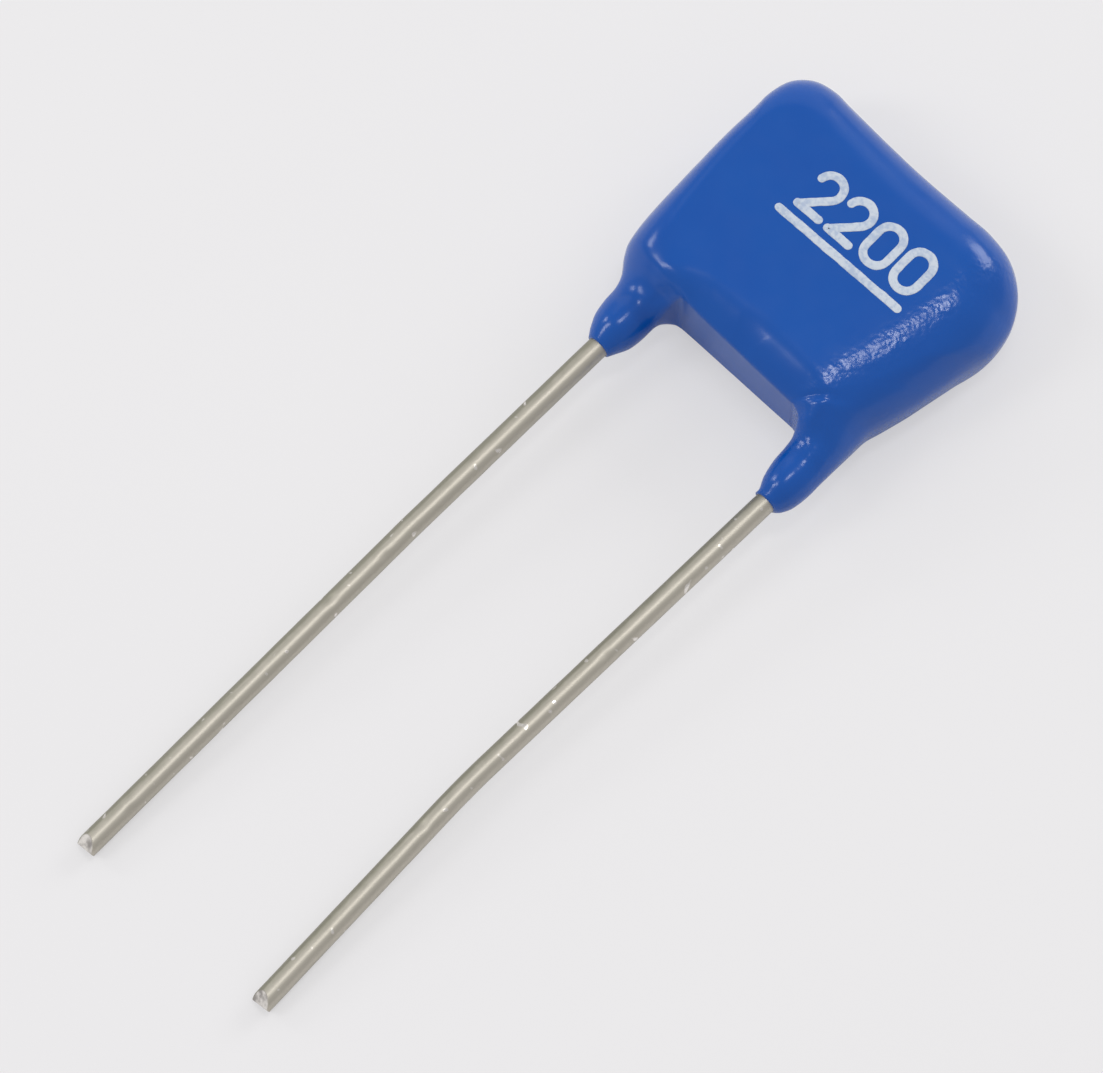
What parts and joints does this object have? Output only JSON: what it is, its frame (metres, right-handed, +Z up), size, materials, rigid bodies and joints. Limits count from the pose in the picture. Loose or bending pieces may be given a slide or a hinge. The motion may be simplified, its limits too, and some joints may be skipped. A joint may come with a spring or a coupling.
{
  "type": "multilayer ceramic capacitor",
  "caption": "Radial-leaded multilayer ceramic capacitor: a chip soldered between wire leads, dipped in glossy blue epoxy that runs down onto the leads, lying on its broad face.",
  "frame": {"origin": "on the surface that the part lies on, midway between the two lead axes at the body and midway along the overall length", "axes": "+X across the leads from the left to the right lead, +Y from the lead tips to the body's top edge, +Z up out of the marked broad face"},
  "size_m": [0.0076, 0.0234, 0.0027],
  "materials": {
    "coating": "glossy dipped blue epoxy with a fine orange-peel surface",
    "ceramic": "matte sintered brown ceramic",
    "electrode": "thin fired silver-palladium film",
    "termination": "matte fired silver",
    "solder": "smooth bright solder",
    "lead": "dull tinned copper-clad steel wire"
  },
  "bodies": {
    "root": {"coating": "coating", "dielectric": "ceramic", "electrode_01": "electrode", "electrode_02": "electrode", "electrode_03": "electrode", "electrode_04": "electrode", "electrode_05": "electrode", "electrode_06": "electrode", "electrode_07": "electrode", "electrode_08": "electrode", "electrode_09": "electrode", "electrode_10": "electrode", "electrode_11": "electrode", "electrode_12": "electrode", "termination_left": "termination", "termination_right": "termination", "solder_left": "solder", "solder_right": "solder", "lead_left": "lead", "lead_right": "lead"}
  },
  "joints": []
}
